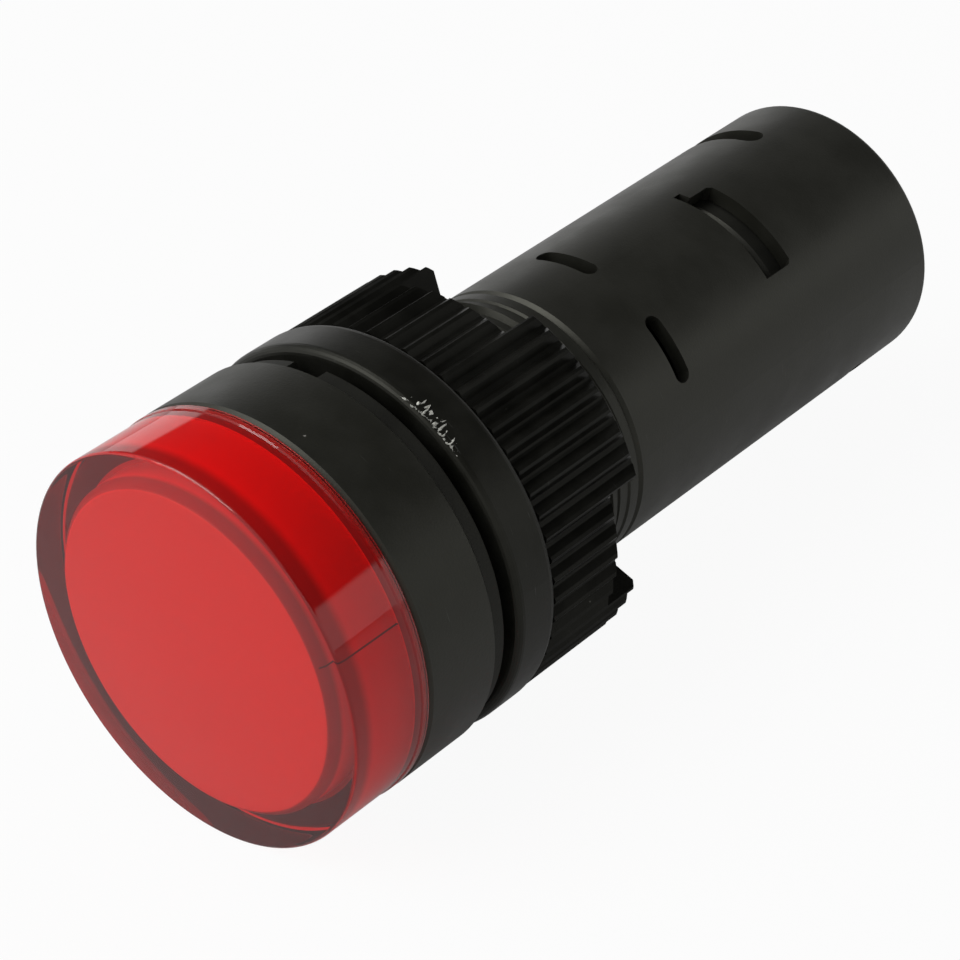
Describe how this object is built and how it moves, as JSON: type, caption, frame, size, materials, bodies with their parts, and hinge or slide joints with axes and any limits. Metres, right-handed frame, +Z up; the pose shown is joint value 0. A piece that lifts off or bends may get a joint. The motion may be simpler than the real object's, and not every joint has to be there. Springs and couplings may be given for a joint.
{
  "type": "panel pilot light",
  "caption": "Round red pilot light for a panel hole: lens on a black head, threaded stem with clamp ring and ribbed nut, vented rear cover over a driver and screw terminals.",
  "frame": {"origin": "on the lamp's axis, in the plane of the gasket's rear face, which lies on the panel's front face", "axes": "+Y along the axis from the lens to the terminals, +Z up through the gasket's notch, +X to the right for someone who looks at the lens"},
  "size_m": [0.029, 0.0676, 0.029],
  "materials": {
    "red_lens": "clear red, polished",
    "seal_rubber": "soft matte",
    "red_diffuser": "milky red, even",
    "black_moulding": "moulded, slightly grained",
    "gasket_rubber": "matte",
    "black_ring": "smooth moulded, satin",
    "black_nut": "moulded, satin on the ribs",
    "black_cover": "moulded, satin",
    "white_board": "solder mask",
    "lamp_resin": "clear epoxy, faint red",
    "gold_pins": "plated",
    "green_board": "solder mask, satin",
    "film_box": "moulded box",
    "capacitor_sleeve": "shrunk sleeve",
    "black_epoxy": "moulded epoxy",
    "resistor_paint": "enamel",
    "wire_sheath": "soft sheath",
    "black_block": "moulded",
    "brass_plate": "stamped",
    "plated_steel": "zinc plated"
  },
  "bodies": {
    "lamp_body": {"lens": "red_lens", "lens_seal": "seal_rubber", "diffuser": "red_diffuser", "housing": "black_moulding", "panel_gasket": "gasket_rubber", "rear_cover": "black_cover", "led_board": "white_board", "leds": "lamp_resin", "header_pins": "gold_pins", "driver_board": "green_board", "dropper_capacitor": "film_box", "smoothing_capacitor": "capacitor_sleeve", "bridge_rectifier": "black_epoxy", "resistors": "resistor_paint", "lead_wires": "wire_sheath", "terminal_block": "black_block", "terminal_plate_left": "brass_plate", "terminal_plate_right": "brass_plate"},
    "ring": {"clamp_ring": "black_ring"},
    "nut": {"mounting_nut": "black_nut"},
    "washer_left": {"clamp_washer_left": "plated_steel"},
    "washer_right": {"clamp_washer_right": "plated_steel"},
    "screw_left": {"terminal_screw_left": "plated_steel"},
    "screw_right": {"terminal_screw_right": "plated_steel"}
  },
  "joints": [
    {"name": "ring_slide", "type": "slide", "parent": "lamp_body", "child": "ring", "axis": [0, 1, 0], "range_m": [-0.00071, 0.00991]},
    {"name": "nut_turn", "type": "hinge", "parent": "ring", "child": "nut", "pos_m": [0, 0.00945, 0], "axis": [0, 1, 0], "range_deg": [-168, 2376]},
    {"name": "washer_left_slide", "type": "slide", "parent": "lamp_body", "child": "washer_left", "axis": [0, 1, 0], "range_m": [0, 0.0025]},
    {"name": "screw_left_turn", "type": "hinge", "parent": "washer_left", "child": "screw_left", "pos_m": [-0.0045, 0.0487, 0.001], "axis": [0, 1, 0], "range_deg": [0, 1810]},
    {"name": "washer_right_slide", "type": "slide", "parent": "lamp_body", "child": "washer_right", "axis": [0, 1, 0], "range_m": [0, 0.0025]},
    {"name": "screw_right_turn", "type": "hinge", "parent": "washer_right", "child": "screw_right", "pos_m": [0.0045, 0.0487, 0.001], "axis": [0, 1, 0], "range_deg": [0, 1810]}
  ],
  "couplings": [
    {"joint": "ring_slide", "follows": "nut_turn", "m_per_rad": 0.00023873},
    {"joint": "screw_left_turn", "follows": "washer_left_slide", "rad_per_m": 12566},
    {"joint": "screw_right_turn", "follows": "washer_right_slide", "rad_per_m": 12566}
  ]
}
